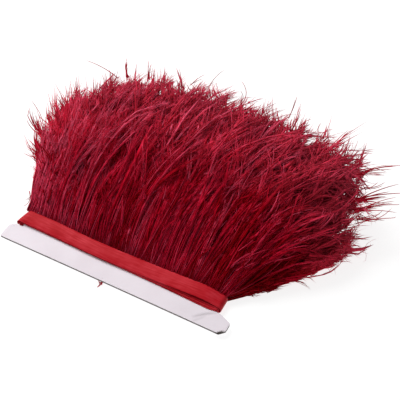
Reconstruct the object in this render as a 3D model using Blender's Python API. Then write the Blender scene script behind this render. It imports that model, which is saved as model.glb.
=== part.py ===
"""Roll of ostrich feather trim: feather fringe on a satin tape, wound flat round a strip of card.

Metres, +Z up. The origin lies on the surface that the roll rests on, under the middle of the
card's length and 4.5 mm in front of the tape edge that the feathers grow from. +X runs along the
roll to its right-hand end, and +Y is the way the feathers point.
"""

import math
import random

import bmesh
import bpy
from mathutils import Matrix, Vector

MM = 0.001
GAP = 0.3 * MM

# Tape, wound in four turns that fan out towards the front at the right-hand end. The turns are
# thicker along the far edge, where the feathers are sewn in. NEAR_SHARE is the near edge's part.
TAPE_WIDTH = 13.2 * MM
TAPE_FAR = 4.5 * MM
TURNS = 4
TURN_STEP = 0.3 * MM
FRONT_SPREAD = 3.8 * MM
SPREAD_START = 25.0 * MM
SPREAD_FULL = 88.0 * MM
END_SPREAD = 0.6
UNDER_SPREAD = 0.5
UNDER_THICK = 3.0 * MM
END_THICK = 3.4 * MM
TOP_THICK_LEFT = 5.0 * MM
TOP_THICK_RIGHT = 6.2 * MM
NEAR_SHARE_LEFT = 0.42
NEAR_SHARE_RIGHT = 0.72
END_DROP = 3.0 * MM
DROP_START = 80.0 * MM
DROP_END = 97.0 * MM
TOP_WAVE = 0.2 * MM
TOP_WAVES = 2.5
BEND_LEFT = -97.0 * MM
BEND_RIGHT = 93.0 * MM
LEFT_SLANT = 4.4 * MM
SLANT_END = -55.0 * MM
LEFT_SETBACK = 3.2 * MM

# The top turn's crown. across: share of the width from the near edge. up: share of the rise.
CROWN = [{"across": 0.33, "up": 0.60}, {"across": 0.67, "up": 0.92}]
TOP_STEPS = 18
UNDER_STEPS = 8
BEND_STEPS = 8

# Card: it stands out in front of the tape, and is narrower where the tape goes round its ends
CARD_THICK = 2.2 * MM
CARD_LEFT = -108.0 * MM
CARD_RIGHT = 110.0 * MM
FRONT_AT_LEFT = -25.0 * MM
FRONT_AT_RIGHT = -29.5 * MM
NECK_FRONT_LEFT = -7.6 * MM
NECK_FRONT_RIGHT = -11.8 * MM
NECK_END_LEFT = -103.0 * MM
NECK_END_RIGHT = 98.5 * MM
CORNER_CUT = 4.5 * MM
FLARE_LEFT = 3.1 * MM
FLARE_RIGHT = 5.0 * MM
FRONT_CORNER = 1.5 * MM
FLARE_CORNER = 2.5 * MM
NECK_CORNER = 0.8 * MM
CARD_EDGE = 0.4 * MM

TAPE_NEAR = TAPE_FAR - TAPE_WIDTH
CARD_UNDERSIDE = UNDER_THICK + GAP
CARD_TOP = CARD_UNDERSIDE + CARD_THICK
BEND_RADIUS = CARD_THICK / 2 + GAP
BEND_HEIGHT = CARD_UNDERSIDE + CARD_THICK / 2

# Feather locks, in columns along the roll and layers up through it
COLUMNS = 40
LAYERS = 6
ROOT_LEFT = -97.5 * MM
ROOT_RIGHT = 95.5 * MM
ROOT_LOW = 0.4 * MM
ROOT_DEPTH = 2.5 * MM
ROOT_GAP = 0.4 * MM
ROOT_FACE = TAPE_FAR + ROOT_GAP + ROOT_DEPTH
ROOT_BELOW_TOP = 0.8 * MM
ROOT_FILL = 0.84
FLOOR_REACH = 1.02
PEAK_ALONG = 0.92
TIP_DROOP = 0.10
DROOP_FROM = 0.7
SHORTEST = 0.90
LONGEST = 1.04
WAVES_ACROSS = 8
WAVE_SWAY = 2.4 * MM
WAVE_TWIST_UP = 2.6
WAVE_TWIST_ALONG = 3.0
TIP_WANDER = 0.4
SEED = 41

# How the fringe fans out. share: place along the roll. reach: how far forward the tips lie.
# lean: how far sideways. bow: sideways swing half way. crest: height of the top of the pile.
FAN = [
    {"share": 0.00, "reach": 104 * MM, "lean": -27 * MM, "bow": -9 * MM, "crest": 30 * MM},
    {"share": 0.08, "reach": 132 * MM, "lean": -39 * MM, "bow": -7 * MM, "crest": 50 * MM},
    {"share": 0.20, "reach": 150 * MM, "lean": -36 * MM, "bow": -10 * MM, "crest": 64 * MM},
    {"share": 0.35, "reach": 162 * MM, "lean": -26 * MM, "bow": -9 * MM, "crest": 72 * MM},
    {"share": 0.50, "reach": 167 * MM, "lean": -7 * MM, "bow": -6 * MM, "crest": 73 * MM},
    {"share": 0.65, "reach": 169 * MM, "lean": 18 * MM, "bow": -3 * MM, "crest": 72 * MM},
    {"share": 0.80, "reach": 165 * MM, "lean": 44 * MM, "bow": 1 * MM, "crest": 68 * MM},
    {"share": 0.92, "reach": 150 * MM, "lean": 72 * MM, "bow": 5 * MM, "crest": 61 * MM},
    {"share": 1.00, "reach": 100 * MM, "lean": 80 * MM, "bow": 9 * MM, "crest": 28 * MM},
]

# One lock behind its root. along: share of its length. wide, high: share of its cell it fills.
LOCK = [
    {"along": 0.14, "wide": 0.84, "high": 0.72},
    {"along": 0.45, "wide": 0.80, "high": 0.58},
    {"along": 0.82, "wide": 0.62, "high": 0.38},
]

WHITE_CARD = {"colour": (0.80, 0.74, 0.79, 1.0), "roughness": 0.75}
SATIN_TAPE = {"colour": (0.56, 0.03, 0.05, 1.0), "roughness": 0.40}
DYED_FEATHER = {"colour": (0.26, 0.006, 0.022, 1.0), "roughness": 0.60}


def clear_scene():
    for obj in list(bpy.data.objects):
        bpy.data.objects.remove(obj, do_unlink=True)


def mix(a, b, share):
    return a + (b - a) * share


def smooth(share):
    share = min(max(share, 0.0), 1.0)
    return share * share * (3 - 2 * share)


def between(start, end, value):
    return smooth((value - start) / (end - start))


def finish_object(name, bm, look, sharp_degrees):
    finish = bpy.data.materials.new(name + "_finish")
    finish.use_nodes = True
    finish.diffuse_color = look["colour"]
    shader = finish.node_tree.nodes["Principled BSDF"]
    shader.inputs["Base Color"].default_value = look["colour"]
    shader.inputs["Roughness"].default_value = look["roughness"]
    shader.inputs["Metallic"].default_value = 0.0
    bmesh.ops.recalc_face_normals(bm, faces=bm.faces)
    mesh = bpy.data.meshes.new(name)
    bm.to_mesh(mesh)
    bm.free()
    mesh.materials.append(finish)
    mesh.shade_smooth()
    mesh.set_sharp_from_angle(angle=math.radians(sharp_degrees))
    obj = bpy.data.objects.new(name, mesh)
    bpy.context.scene.collection.objects.link(obj)
    return obj


# Card
def slant_at(x, y):
    """Sideways shift that makes the roll's left-hand end run at a slant across the tape."""
    return LEFT_SLANT * (1 - between(BEND_LEFT, SLANT_END, x)) * y / TAPE_WIDTH


def setback_at(x):
    """How far back the tape and the feathers' roots lie, which is most at the left-hand end."""
    return LEFT_SETBACK * (1 - between(BEND_LEFT, 0.0, x))


def rounded(corners, steps=3):
    """Points of a closed outline of (x, y, radius) corners, each of them drawn as an arc."""
    points = []
    for i, (x, y, radius) in enumerate(corners):
        here = Vector((x, y))
        before = (Vector(corners[i - 1][:2]) - here).normalized()
        after = (Vector(corners[(i + 1) % len(corners)][:2]) - here).normalized()
        half = before.angle(after) / 2
        centre = here + (before + after).normalized() * radius / math.sin(half)
        start = here + before * radius / math.tan(half) - centre
        end = here + after * radius / math.tan(half) - centre
        turn = start.angle_signed(end)
        for step in range(steps + 1):
            points.append(centre + Matrix.Rotation(-turn * step / steps, 2) @ start)
    return points


def make_card():
    neck_left = BEND_LEFT + GAP
    neck_right = BEND_RIGHT - GAP
    corners = [
        (CARD_LEFT, FRONT_AT_LEFT, FRONT_CORNER),
        (CARD_RIGHT - CORNER_CUT, FRONT_AT_RIGHT, FRONT_CORNER),
        (CARD_RIGHT, FRONT_AT_RIGHT + CORNER_CUT, FRONT_CORNER),
        (CARD_RIGHT, NECK_FRONT_RIGHT - FLARE_RIGHT, FLARE_CORNER),
        (NECK_END_RIGHT, NECK_FRONT_RIGHT, FRONT_CORNER),
        (neck_right, NECK_FRONT_RIGHT, NECK_CORNER),
        (neck_right, TAPE_FAR, NECK_CORNER),
        (neck_left + slant_at(BEND_LEFT, TAPE_FAR), TAPE_FAR, NECK_CORNER),
        (neck_left + slant_at(BEND_LEFT, NECK_FRONT_LEFT), NECK_FRONT_LEFT, NECK_CORNER),
        (NECK_END_LEFT, NECK_FRONT_LEFT, FRONT_CORNER),
        (CARD_LEFT, NECK_FRONT_LEFT - FLARE_LEFT, FLARE_CORNER),
    ]
    bm = bmesh.new()
    outline = [bm.verts.new((x, y, CARD_UNDERSIDE)) for x, y in rounded(corners)]
    made = bmesh.ops.extrude_face_region(bm, geom=[bm.faces.new(outline)])
    raised = [item for item in made["geom"] if isinstance(item, bmesh.types.BMVert)]
    bmesh.ops.translate(bm, verts=raised, vec=(0, 0, CARD_THICK))
    rims = [edge for edge in bm.edges if edge.verts[0].co.z == edge.verts[1].co.z]
    bmesh.ops.bevel(bm, geom=rims, offset=CARD_EDGE, segments=1, affect="EDGES")
    finish_object("card", bm, WHITE_CARD, 35)


# Wound tape
def top_thickness(x):
    wave = TOP_WAVE * math.sin(2 * math.pi * TOP_WAVES * (x - BEND_LEFT) / (BEND_RIGHT - BEND_LEFT))
    drop = END_DROP * between(DROP_START, DROP_END, x)
    return mix(TOP_THICK_LEFT, TOP_THICK_RIGHT, between(0.0, DROP_START, x)) + wave - drop


def spread_at(x):
    drawn_in = mix(1.0, END_SPREAD, between(DROP_START, BEND_RIGHT, x))
    return FRONT_SPREAD * between(SPREAD_START, SPREAD_FULL, x) * drawn_in


def near_share_at(x):
    return mix(NEAR_SHARE_LEFT, NEAR_SHARE_RIGHT, between(SPREAD_START, DROP_START, x))


def tape_stations():
    """Stations round the roll, from under its left end: inner point, outward way, thickness at
    the far edge, spread and the near edge's share of the thickness."""
    stations = []
    low, high = BEND_HEIGHT - BEND_RADIUS, BEND_HEIGHT + BEND_RADIUS
    for step in range(UNDER_STEPS):
        x = mix(BEND_LEFT, BEND_RIGHT, step / UNDER_STEPS)
        spread = UNDER_SPREAD / END_SPREAD * spread_at(x)
        stations.append((x, low, 0.0, -1.0, UNDER_THICK, spread, 1.0))
    for step in range(BEND_STEPS):
        share = step / BEND_STEPS
        angle = math.pi * (share - 0.5)
        across, up = math.cos(angle), math.sin(angle)
        if share < 0.5:
            thick = mix(UNDER_THICK, END_THICK, smooth(2 * share))
        else:
            thick = mix(END_THICK, top_thickness(BEND_RIGHT), smooth(2 * share - 1))
        spread = mix(UNDER_SPREAD, END_SPREAD, smooth(share)) * FRONT_SPREAD
        near_share = mix(1.0, NEAR_SHARE_RIGHT, smooth(2 * share - 1))
        x = BEND_RIGHT + BEND_RADIUS * across
        z = BEND_HEIGHT + BEND_RADIUS * up
        stations.append((x, z, across, up, thick, spread, near_share))
    for step in range(TOP_STEPS):
        x = mix(BEND_RIGHT, BEND_LEFT, step / TOP_STEPS)
        stations.append((x, high, 0.0, 1.0, top_thickness(x), spread_at(x), near_share_at(x)))
    for step in range(BEND_STEPS):
        share = step / BEND_STEPS
        angle = math.pi * (share + 0.5)
        across, up = math.cos(angle), math.sin(angle)
        if share < 0.5:
            thick = mix(top_thickness(BEND_LEFT), END_THICK, smooth(2 * share))
        else:
            thick = mix(END_THICK, UNDER_THICK, smooth(2 * share - 1))
        near_share = mix(NEAR_SHARE_LEFT, 1.0, smooth(2 * share))
        x = BEND_LEFT + BEND_RADIUS * across
        stations.append((x, BEND_HEIGHT + BEND_RADIUS * up, across, up, thick, 0.0, near_share))
    return stations


def tape_section(spread, near_share):
    """Points (y, share of the thickness) round the wound turns, with a step for each turn in front
    and a crowned top."""
    points = [(TAPE_FAR, 0.0)]
    for turn in range(TURNS):
        inner_share = 1 - turn / (TURNS - 1)
        y = TAPE_NEAR - spread * inner_share - TURN_STEP * (turn % 2)
        points += [(y, near_share * turn / TURNS), (y, near_share * (turn + 1) / TURNS)]
    for row in CROWN:
        points.append((TAPE_NEAR + TAPE_WIDTH * row["across"], mix(near_share, 1.0, row["up"])))
    return points + [(TAPE_FAR, 1.0)]


def make_tape_roll():
    bm = bmesh.new()
    rings = []
    for x, z, across, up, thick, spread, near_share in tape_stations():
        ring = []
        for section_y, share in tape_section(spread, near_share):
            y = section_y + setback_at(x)
            out = thick * share
            ring.append(bm.verts.new((x + across * out + slant_at(x, y), y, z + up * out)))
        rings.append(ring)
    for i, ring in enumerate(rings):
        following = rings[(i + 1) % len(rings)]
        for j in range(len(ring)):
            k = (j + 1) % len(ring)
            bm.faces.new((ring[j], ring[k], following[k], following[j]))
    finish_object("tape_roll", bm, SATIN_TAPE, 40)


# Feather fringe
def fan_at(share):
    """The fan's values at a place along the roll, from the rows of the table on each side of it."""
    share = min(max(share, 0.0), 1.0)
    for low, high in zip(FAN, FAN[1:]):
        if share <= high["share"]:
            part = (share - low["share"]) / (high["share"] - low["share"])
            return {key: mix(low[key], high[key], part) for key in low}


def root_top(share):
    x = mix(ROOT_LEFT, ROOT_RIGHT, share)
    return CARD_TOP + GAP + top_thickness(x) - ROOT_BELOW_TOP


def fringe_point(share, level, along):
    """Point of the fringe: share along the roll, level from floor to crest, along root to tip."""
    fan = fan_at(share)
    turn = 2 * math.pi * WAVES_ACROSS * share + WAVE_TWIST_UP * level + WAVE_TWIST_ALONG * along
    wave = WAVE_SWAY * along * math.sin(turn)
    bow = 4 * fan["bow"] * along * (1 - along)
    x = mix(ROOT_LEFT, ROOT_RIGHT, share) + fan["lean"] * along + bow + wave
    root_y = ROOT_FACE + setback_at(mix(ROOT_LEFT, ROOT_RIGHT, share)) * (1 - along)
    y = root_y + fan["reach"] * mix(FLOOR_REACH, 1.0, level) * along
    rise = 1 - (1 - along / PEAK_ALONG) ** 2
    droop = TIP_DROOP * between(DROOP_FROM, 1.0, along)
    crest = mix(root_top(share), fan["crest"], rise) - droop * fan["crest"]
    return Vector((x, y, level * crest))


def lock_ring(bm, column, layer, along, wide, high, wander):
    """Four corners of one lock at a share of its length. The lowest locks lie level on the floor."""
    middle = (column + 0.5 + wander[0] * (1 - wide) / 2) / COLUMNS
    half = wide / COLUMNS / 2
    low = (layer + (1 - high) / 2 * (1 + wander[1])) / LAYERS if layer else 0.0
    top = low + high / LAYERS
    corners = [(middle - half, low), (middle + half, low), (middle + half, top), (middle - half, top)]
    return [bm.verts.new(fringe_point(share, level, along)) for share, level in corners]


def make_feathers():
    chance = random.Random(SEED)
    bm = bmesh.new()

    def root_point(share, level):
        x = mix(ROOT_LEFT, ROOT_RIGHT, share)
        z = mix(ROOT_LOW, root_top(share), level)
        return Vector((x, ROOT_FACE + setback_at(x), z))

    grid = [[bm.verts.new(root_point(i / COLUMNS, j / LAYERS)) for j in range(LAYERS + 1)]
            for i in range(COLUMNS + 1)]
    rim = [column[0] for column in grid] + grid[-1][1:]
    rim += [column[-1] for column in grid[-2::-1]] + grid[0][-2:0:-1]
    back = [bm.verts.new(vert.co - Vector((0, ROOT_DEPTH, 0))) for vert in rim]
    for i in range(len(rim)):
        j = (i + 1) % len(rim)
        bm.faces.new((rim[i], back[i], back[j], rim[j]))
    bm.faces.new(back)

    for column in range(COLUMNS):
        for layer in range(LAYERS):
            cell = [grid[column][layer], grid[column + 1][layer],
                    grid[column + 1][layer + 1], grid[column][layer + 1]]
            middle = sum((vert.co for vert in cell), Vector()) / 4
            ring = [bm.verts.new(middle.lerp(vert.co, ROOT_FILL)) for vert in cell]
            for i in range(4):
                j = (i + 1) % 4
                bm.faces.new((cell[i], cell[j], ring[j], ring[i]))
            length = chance.uniform(SHORTEST, LONGEST)
            wander = (chance.uniform(-1, 1), chance.uniform(-1, 1))
            for row in LOCK:
                following = lock_ring(
                    bm, column, layer, row["along"] * length, row["wide"], row["high"], wander
                )
                for i in range(4):
                    j = (i + 1) % 4
                    bm.faces.new((ring[i], ring[j], following[j], following[i]))
                ring = following
            tip_level = (layer + 0.5 + TIP_WANDER * wander[1]) / LAYERS if layer else 0.0
            tip_share = (column + 0.5 + TIP_WANDER * wander[0]) / COLUMNS
            tip = bm.verts.new(fringe_point(tip_share, tip_level, length))
            for i in range(4):
                bm.faces.new((ring[i], ring[(i + 1) % 4], tip))
    finish_object("feathers", bm, DYED_FEATHER, 60)


clear_scene()
make_card()
make_tape_roll()
make_feathers()
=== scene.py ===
# %% [markdown]
# # A roll of ostrich feather trim
#
# This lesson dresses a roll of feather fringe. Dyed ostrich flues are sewn into a narrow satin
# tape, and the tape is wound four times round a strip of white card. The frame holds three plain
# solids at their real size: the card, the wound tape and the fringe. Each gets a finer piece here
# that keeps its place and form. Everything is in metres, with the feathers pointing along +Y.

# %% Frame and tools
import math

import bmesh
import bpy
import numpy as np
from mathutils import Matrix, Vector


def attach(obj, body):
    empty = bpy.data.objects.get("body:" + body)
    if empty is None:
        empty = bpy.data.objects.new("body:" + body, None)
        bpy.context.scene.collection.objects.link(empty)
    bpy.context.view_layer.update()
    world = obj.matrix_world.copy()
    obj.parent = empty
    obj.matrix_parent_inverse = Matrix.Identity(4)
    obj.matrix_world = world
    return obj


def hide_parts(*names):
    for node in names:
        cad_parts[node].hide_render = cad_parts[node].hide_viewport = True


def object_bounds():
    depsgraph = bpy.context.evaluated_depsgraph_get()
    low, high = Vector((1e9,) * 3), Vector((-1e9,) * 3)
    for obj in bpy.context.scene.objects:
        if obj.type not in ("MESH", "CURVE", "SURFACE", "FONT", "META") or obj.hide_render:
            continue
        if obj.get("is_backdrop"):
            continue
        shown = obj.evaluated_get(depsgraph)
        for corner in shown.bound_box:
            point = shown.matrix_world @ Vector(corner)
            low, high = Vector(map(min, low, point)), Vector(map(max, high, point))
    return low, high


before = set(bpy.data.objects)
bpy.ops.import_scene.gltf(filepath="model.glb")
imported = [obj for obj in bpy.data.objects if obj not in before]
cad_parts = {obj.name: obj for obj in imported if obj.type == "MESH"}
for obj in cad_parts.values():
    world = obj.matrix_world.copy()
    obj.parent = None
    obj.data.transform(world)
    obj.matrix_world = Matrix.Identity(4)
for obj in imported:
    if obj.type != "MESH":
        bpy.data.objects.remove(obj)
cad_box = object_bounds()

MM = 0.001


def add_object(name, data):
    """Puts a mesh, a lamp or a camera into the scene as an object."""
    made = bpy.data.objects.new(name, data)
    bpy.context.scene.collection.objects.link(made)
    return made


print("nodes:", sorted(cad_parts))
print("box in mm:", [[round(value / MM, 1) for value in corner] for corner in cad_box])


# %% [markdown]
# ## Camera
#
# The roll lies on a table and is seen from the front, from its right and from well above. A long
# lens keeps the card's edges nearly parallel. The aim is worked out from two angles and a distance,
# so that one number moves it.

# %% Camera
PHOTO_SIDE = 400
FOCAL_PIXELS = 870
SENSOR = 36.0
AZIMUTH = math.radians(27.3)
ELEVATION = math.radians(47.0)
DISTANCE = 0.790
AIM = Vector((0.0247, 0.0960, 0.0))

back = Vector((math.sin(AZIMUTH) * math.cos(ELEVATION),
               -math.cos(AZIMUTH) * math.cos(ELEVATION),
               math.sin(ELEVATION)))
right = Vector((math.cos(AZIMUTH), math.sin(AZIMUTH), 0))
up = back.cross(right)

lens = bpy.data.cameras.new("camera")
lens.sensor_width = SENSOR
lens.lens = FOCAL_PIXELS * SENSOR / PHOTO_SIDE
lens.clip_start = 0.01
lens.clip_end = 20
camera = add_object("camera", lens)
turned = Matrix((right, up, back)).transposed().to_4x4()
camera.matrix_world = Matrix.Translation(AIM + back * DISTANCE) @ turned
bpy.context.scene.camera = camera
print("lens in mm:", round(lens.lens, 1))


# %% [markdown]
# ## Colours and nodes
#
# Colours are picked as sRGB hex values, as on a screen, but shader nodes reckon in linear light.
# One function turns the first into the second. Another adds a node, with its settings and with
# what feeds its sockets, so that a material reads as a short list of nodes.

# %% Helpers for materials
def linear(hex_colour):
    """An sRGB hex colour as the linear RGBA that nodes use."""
    shares = [int(hex_colour[place:place + 2], 16) / 255 for place in (1, 3, 5)]
    return [s / 12.92 if s <= 0.04045 else ((s + 0.055) / 1.055) ** 2.4 for s in shares] + [1.0]


def add_node(material, kind, feeds=(), **settings):
    """Adds a node. settings are its properties, and feeds gives its sockets a value or a link."""
    node = material.node_tree.nodes.new(kind)
    for name, value in settings.items():
        setattr(node, name, value)
    for name, value in dict(feeds).items():
        if isinstance(value, bpy.types.NodeSocket):
            material.node_tree.links.new(value, node.inputs[name])
        else:
            node.inputs[name].default_value = value
    return node


def bare_material(name):
    material = bpy.data.materials.new(name)
    material.use_nodes = True
    material.node_tree.nodes.clear()
    return material


def finish_with(material, shader):
    output = add_node(material, "ShaderNodeOutputMaterial", {"Surface": shader.outputs["BSDF"]})
    output.is_active_output = True
    return material


def set_ramp(node, stops):
    """Gives a colour ramp its stops, a list of (place, hex colour)."""
    elements = node.color_ramp.elements
    while len(elements) < len(stops):
        elements.new(0.5)
    for element, (place, hex_colour) in zip(elements, stops):
        element.position = place
        element.color = linear(hex_colour)


print("crimson in linear light:", [round(value, 3) for value in linear("#9A1230")])


# %% [markdown]
# ## Table and light
#
# The roll lies on a light table under a big soft lamp. A light table is a sheet of opal acrylic
# that glows from below, which photographers use to thin out the shadows on white. It reflects
# less than a third of the light that falls on it, so its glow makes most of its white. The world
# is a soft white too, so only a faint shadow is left beside the feathers.

# %% Floor
FLOOR_SIZE = 8.0
TABLE_GLOW = 0.83

opal = bare_material("opal_acrylic_table")
grain = add_node(opal, "ShaderNodeTexNoise", {"Scale": 900.0, "Detail": 2.0})
dent = add_node(opal, "ShaderNodeBump",
                {"Height": grain.outputs["Fac"], "Strength": 0.02, "Distance": 0.1 * MM})
finish_with(opal, add_node(opal, "ShaderNodeBsdfPrincipled", {
    "Base Color": linear("#929292"),
    "Roughness": 0.8,
    "Specular IOR Level": 0.2,
    "Emission Color": linear("#FFFFFF"),
    "Emission Strength": TABLE_GLOW,
    "Normal": dent.outputs["Normal"],
}))

half = FLOOR_SIZE / 2
floor_mesh = bpy.data.meshes.new("table")
floor_mesh.from_pydata([(-half, -half, 0), (half, -half, 0), (half, half, 0), (-half, half, 0)],
                       [], [(0, 1, 2, 3)])
floor_mesh.materials.append(opal)
floor = add_object("table", floor_mesh)
floor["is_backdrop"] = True
print("floor in metres:", FLOOR_SIZE)

# %% Light
LAMPS = [
    {"name": "overhead", "place": (-1.15, 0.50, 1.45), "size": 1.4, "watts": 35.0},
    {"name": "front", "place": (0.30, -1.10, 0.90), "size": 0.9, "watts": 0.5},
]
SKY_STRENGTH = 0.30

for row in LAMPS:
    lamp = bpy.data.lights.new(row["name"], "AREA")
    lamp.shape = "DISK"
    lamp.size = row["size"]
    lamp.energy = row["watts"]
    holder = add_object(row["name"], lamp)
    holder.location = row["place"]
    holder.rotation_euler = (AIM - holder.location).to_track_quat("-Z", "Y").to_euler()

sky = bpy.data.worlds.new("white_studio")
sky.use_nodes = True
glow = sky.node_tree.nodes["Background"].inputs
glow["Color"].default_value = linear("#FFFFFF")
glow["Strength"].default_value = SKY_STRENGTH
bpy.context.scene.world = sky
bpy.context.scene.view_settings.view_transform = "Standard"
print("lamps:", [row["name"] for row in LAMPS])


# %% [markdown]
# ## The roll's measures
#
# The same sizes as the frame's solids are built from: a tape 13 mm wide as it lies, wound in four
# turns round a card about 218 mm long. The turns are thickest along the far edge, where the
# feathers are sewn in, so the top one slopes towards the front. At the right-hand end the lower
# turns stand out in front of it, and at the left-hand end they all lie a little further back.

# %% Measures
TAPE_WIDTH = 13.2 * MM
TAPE_FAR = 4.5 * MM
TURNS = 4
TURN_STEP = 0.3 * MM
FRONT_SPREAD = 3.8 * MM
SPREAD_START = 5.0 * MM
SPREAD_FULL = 88.0 * MM
END_SPREAD = 0.8
UNDER_SPREAD = 0.5
UNDER_THICK = 3.0 * MM
END_THICK = 3.4 * MM
TOP_THICK_LEFT = 5.0 * MM
TOP_THICK_RIGHT = 6.2 * MM
NEAR_SHARE_LEFT = 0.42
NEAR_SHARE_RIGHT = 0.72
END_DROP = 3.0 * MM
DROP_START = 80.0 * MM
DROP_END = 97.0 * MM
TOP_WAVE = 0.2 * MM
TOP_WAVES = 2.5
BEND_LEFT = -97.8 * MM
BEND_RIGHT = 93.0 * MM
LEFT_SLANT = 3.4 * MM
SLANT_END = -55.0 * MM
LEFT_SETBACK = 3.2 * MM

SEAT_GAP = 0.3 * MM
CARD_THICK = 2.2 * MM
CARD_UNDERSIDE = UNDER_THICK + SEAT_GAP
CARD_TOP = CARD_UNDERSIDE + CARD_THICK
TAPE_NEAR = TAPE_FAR - TAPE_WIDTH
BEND_RADIUS = CARD_THICK / 2 + SEAT_GAP
BEND_HEIGHT = CARD_UNDERSIDE + CARD_THICK / 2


def mix(a, b, share):
    return a + (b - a) * share


def between(start, end, value):
    """0 before start, 1 after end, and a soft rise in between. Takes numbers or arrays."""
    share = np.clip((value - start) / (end - start), 0.0, 1.0)
    return share * share * (3 - 2 * share)


def slant_at(x, y):
    """Sideways shift that makes the roll's left-hand end run at a slant across the tape."""
    return LEFT_SLANT * (1 - between(BEND_LEFT, SLANT_END, x)) * y / TAPE_WIDTH


def setback_at(x):
    """How far back the tape and the feathers' roots lie, which is most at the left-hand end."""
    return LEFT_SETBACK * (1 - between(BEND_LEFT, 0.0, x))


def top_thickness(x):
    wave = TOP_WAVE * np.sin(2 * np.pi * TOP_WAVES * (x - BEND_LEFT) / (BEND_RIGHT - BEND_LEFT))
    drop = END_DROP * between(DROP_START, DROP_END, x)
    return mix(TOP_THICK_LEFT, TOP_THICK_RIGHT, between(0.0, DROP_START, x)) + wave - drop


def spread_at(x):
    drawn_in = mix(1.0, END_SPREAD, between(SPREAD_FULL, BEND_RIGHT, x))
    return FRONT_SPREAD * np.clip((x - SPREAD_START) / (SPREAD_FULL - SPREAD_START), 0, 1) * drawn_in


def near_share_at(x):
    """The wound turns' thickness along the near edge, as a share of that along the far edge."""
    return mix(NEAR_SHARE_LEFT, NEAR_SHARE_RIGHT, between(SPREAD_START, DROP_START, x))


print("wound tape above the card in mm:", round(float(top_thickness(0)) / MM, 2))


# %% [markdown]
# ## Card
#
# The core is a strip of bleached pulp board, cut with a guillotine: its face is smooth and nearly
# white, and its cut edges are painted dark grey, a painted shade for the thin sides, and brown where
# the corner has worn. A plain box would look like plastic, so the outline has the real cut corners
# and the neck where the tape sits, the rims are rounded by a fraction of a millimetre, the long free
# side is bowed a little, as thin board is, and two soft creases cross its right-hand end, painted
# grey in their bottoms as their shade.

# %% Bleached board
board = bare_material("bleached_pulp_board")
place = add_node(board, "ShaderNodeTexCoord").outputs["Object"]
# Pulp fibres are about 1 mm long and 0.03 mm thick. Drawn at 0.5 mm, the finest that shows here.
fibre = add_node(board, "ShaderNodeTexNoise",
                 {"Vector": place, "Scale": 1 / (0.5 * MM), "Detail": 4.0, "Roughness": 0.7})
# Clouds of denser pulp, about 20 mm across
cloud = add_node(board, "ShaderNodeTexNoise", {"Vector": place, "Scale": 1 / (20 * MM)})
face_colour = add_node(board, "ShaderNodeValToRGB", {"Fac": cloud.outputs["Fac"]})
set_ramp(face_colour, [(0.35, "#E9E0E7"), (0.65, "#EEE6ED")])
cut, worn, crease_shade = (add_node(board, "ShaderNodeAttribute", attribute_name=name).outputs["Fac"]
                      for name in ("cut_edge", "worn", "crease_shade"))
# Painted shade: the creases' bottoms are mixed towards grey
face_and_crease_shade = add_node(board, "ShaderNodeMix", {
    "Factor": crease_shade, 6: face_colour.outputs["Color"], 7: linear("#A8A0A4"),
}, data_type="RGBA")
# Painted shade: the cut sides are dark grey. The brown at the worn corner is wear.
edge_shade_and_wear = add_node(board, "ShaderNodeMix", {
    "Factor": worn, 6: linear("#77706F"), 7: linear("#382E28"),
}, data_type="RGBA")
edge_colour = add_node(board, "ShaderNodeMix", {
    "Factor": cut, 6: face_and_crease_shade.outputs[2], 7: edge_shade_and_wear.outputs[2],
}, data_type="RGBA")
dents = add_node(board, "ShaderNodeBump",
                 {"Height": fibre.outputs["Fac"], "Strength": 0.25, "Distance": 0.05 * MM})
finish_with(board, add_node(board, "ShaderNodeBsdfPrincipled", {
    "Base Color": edge_colour.outputs[2],
    "Roughness": 0.62,
    "IOR": 1.5,
    "Specular IOR Level": 0.35,
    "Normal": dents.outputs["Normal"],
}))
print("board nodes:", len(board.node_tree.nodes))

# %% Card
CARD_LEFT = -108.0 * MM
CARD_RIGHT = 110.0 * MM
FRONT_AT_LEFT = -25.0 * MM
FRONT_AT_RIGHT = -29.5 * MM
# The neck that the tape is wound round, with a little room for it at the left-hand end
NECK_FRONT_LEFT = -7.6 * MM
NECK_FRONT_RIGHT = -11.8 * MM
NECK_END_LEFT = -103.0 * MM
NECK_END_RIGHT = 98.5 * MM
LEFT_LOOSE = 1.4 * MM
# How much is cut off the front right-hand corner, and how the neck widens to the card's ends
CORNER_CUT = 4.5 * MM
FLARE_LEFT = 3.1 * MM
FLARE_RIGHT = 5.0 * MM
CORNER_STEPS = 8
RIM = 0.2 * MM
# The corner that has been handled most, and how far it is worn along the cut and in from it
WORN_CORNER = (106.0 * MM, -29.0 * MM)
WORN_REACH = 5.5 * MM
WORN_WIDE = 1.2 * MM
# The mesh is finer where the creases are
CARD_GRID = 3.0 * MM
FINE_GRID = 1.0 * MM
FINE_FROM = 68.0 * MM
CARD_BOW = 0.35 * MM
CREASES = [
    {"from": (80.0 * MM, -25.5 * MM), "to": (97.0 * MM, -12.0 * MM), "bend": -1.0 * MM,
     "wide": 1.0 * MM, "deep": 0.35 * MM, "crease_shade": 0.6},
    {"from": (82.0 * MM, -28.5 * MM), "to": (90.0 * MM, -18.0 * MM), "bend": 0.5 * MM,
     "wide": 1.0 * MM, "deep": 0.2 * MM, "crease_shade": 0.3},
]


def rounded(corners):
    """Points of a closed outline of (x, y, radius) corners, each of them drawn as an arc."""
    points = []
    for i, (x, y, radius) in enumerate(corners):
        here = Vector((x, y))
        before = (Vector(corners[i - 1][:2]) - here).normalized()
        after = (Vector(corners[(i + 1) % len(corners)][:2]) - here).normalized()
        half_angle = before.angle(after) / 2
        centre = here + (before + after).normalized() * radius / math.sin(half_angle)
        start = here + before * radius / math.tan(half_angle) - centre
        end = here + after * radius / math.tan(half_angle) - centre
        turn = start.angle_signed(end)
        for step in range(CORNER_STEPS + 1):
            points.append(centre + Matrix.Rotation(-turn * step / CORNER_STEPS, 2) @ start)
    return points


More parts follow.
